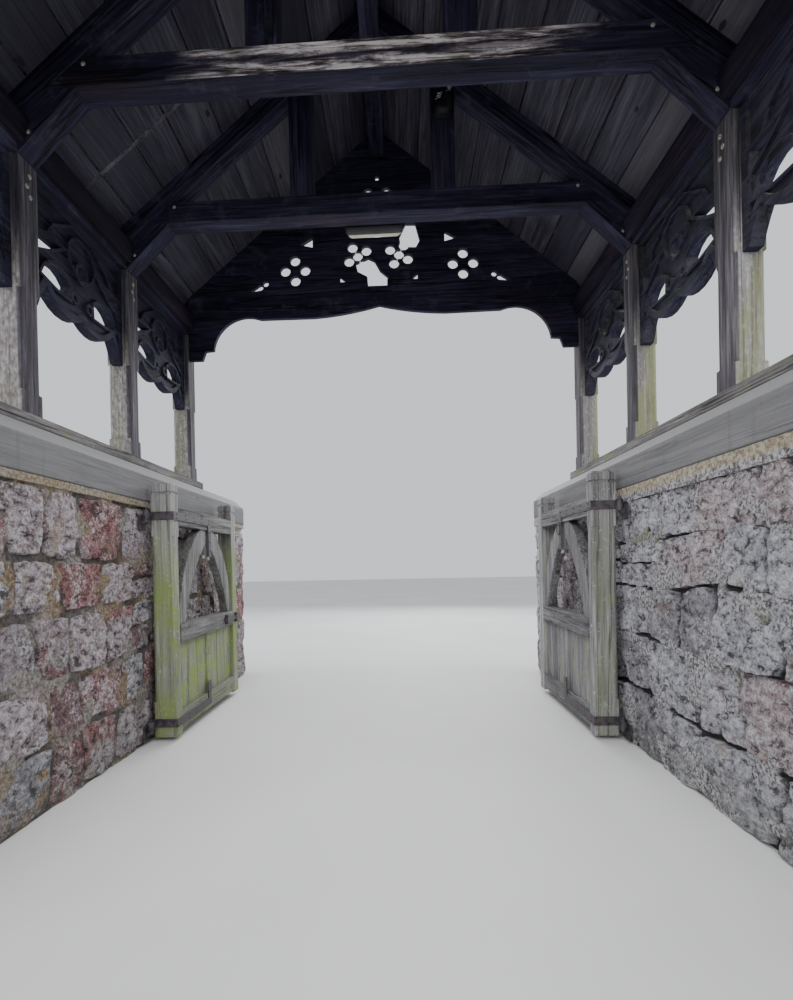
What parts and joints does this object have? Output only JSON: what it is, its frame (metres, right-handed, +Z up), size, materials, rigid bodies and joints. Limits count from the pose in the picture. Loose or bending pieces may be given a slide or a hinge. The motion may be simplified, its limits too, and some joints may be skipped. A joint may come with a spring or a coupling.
{
  "type": "lychgate",
  "caption": "Oak-framed churchyard gateway on dwarf stone walls, with a tiled roof, traceried side panels, pierced gable boards and a pair of swinging gate leaves.",
  "frame": {"origin": "on the ground at the middle of the plan", "axes": "+Z up, +Y along the passage towards the churchyard, +X across the passage to the right"},
  "size_m": [3.16, 4.17, 3.8682],
  "materials": {
    "rubble_stone": "random squared rubble in lime mortar",
    "new_oak": "newer oak weathered to light grey",
    "weathered_oak": "old oak, grey with algae and lichen",
    "dark_oak": "old oak, dark brown",
    "red_oak": "reddish brown oak",
    "roof_boards": "rough sawn boards",
    "clay_tile": "plain clay tiles with lichen",
    "wrought_iron": "black iron with rust",
    "gate_oak": "grey oak with green algae",
    "lamp_plastic": "cream lens on a dark base",
    "lamp_black": "black"
  },
  "bodies": {
    "gateway": {"bargeboards_back": "dark_oak", "bargeboards_front": "dark_oak", "bulkhead_lamp": "lamp_plastic", "collar_2": "dark_oak", "collar_3": "dark_oak", "cornice_left": "red_oak", "cornice_right": "red_oak", "gable_board_back": "dark_oak", "gable_board_front": "dark_oak", "gate_pintles": "wrought_iron", "knee_braces_2": "dark_oak", "knee_braces_3": "dark_oak", "post_left_1": "weathered_oak", "post_left_2": "weathered_oak", "post_left_3": "weathered_oak", "post_left_4": "weathered_oak", "post_right_1": "weathered_oak", "post_right_2": "weathered_oak", "post_right_3": "weathered_oak", "post_right_4": "weathered_oak", "queen_struts_2": "dark_oak", "queen_struts_3": "dark_oak", "rafters_1": "dark_oak", "rafters_2": "dark_oak", "rafters_3": "dark_oak", "rafters_4": "dark_oak", "ridge_beam": "dark_oak", "ridge_tiles": "clay_tile", "sarking_left": "roof_boards", "sarking_right": "roof_boards", "sill_left": "new_oak", "sill_right": "new_oak", "sole_plate_left": "weathered_oak", "sole_plate_right": "weathered_oak", "spot_lamp": "lamp_black", "tiles_left": "clay_tile", "tiles_right": "clay_tile", "tracery_left_1": "dark_oak", "tracery_left_2": "dark_oak", "tracery_left_3": "dark_oak", "tracery_right_1": "dark_oak", "tracery_right_2": "dark_oak", "tracery_right_3": "dark_oak", "wall_left": "rubble_stone", "wall_plate_left": "dark_oak", "wall_plate_right": "dark_oak", "wall_right": "rubble_stone"},
    "left_leaf": {"gate_left_braces": "gate_oak", "gate_left_head_stile": "gate_oak", "gate_left_heel_stile": "gate_oak", "gate_left_ironwork": "wrought_iron", "gate_left_panel": "gate_oak", "gate_left_rails": "gate_oak"},
    "right_leaf": {"gate_right_braces": "gate_oak", "gate_right_head_stile": "gate_oak", "gate_right_heel_stile": "gate_oak", "gate_right_ironwork": "wrought_iron", "gate_right_panel": "gate_oak", "gate_right_rails": "gate_oak"}
  },
  "joints": [
    {"name": "left_leaf_hinge", "type": "hinge", "parent": "gateway", "child": "left_leaf", "pos_m": [-1.154, 0.25, 0.094], "axis": [0, 0, 1], "range_deg": [-90, 0]},
    {"name": "right_leaf_hinge", "type": "hinge", "parent": "gateway", "child": "right_leaf", "pos_m": [1.154, 0.25, 0.094], "axis": [0, 0, 1], "range_deg": [0, 90]}
  ]
}
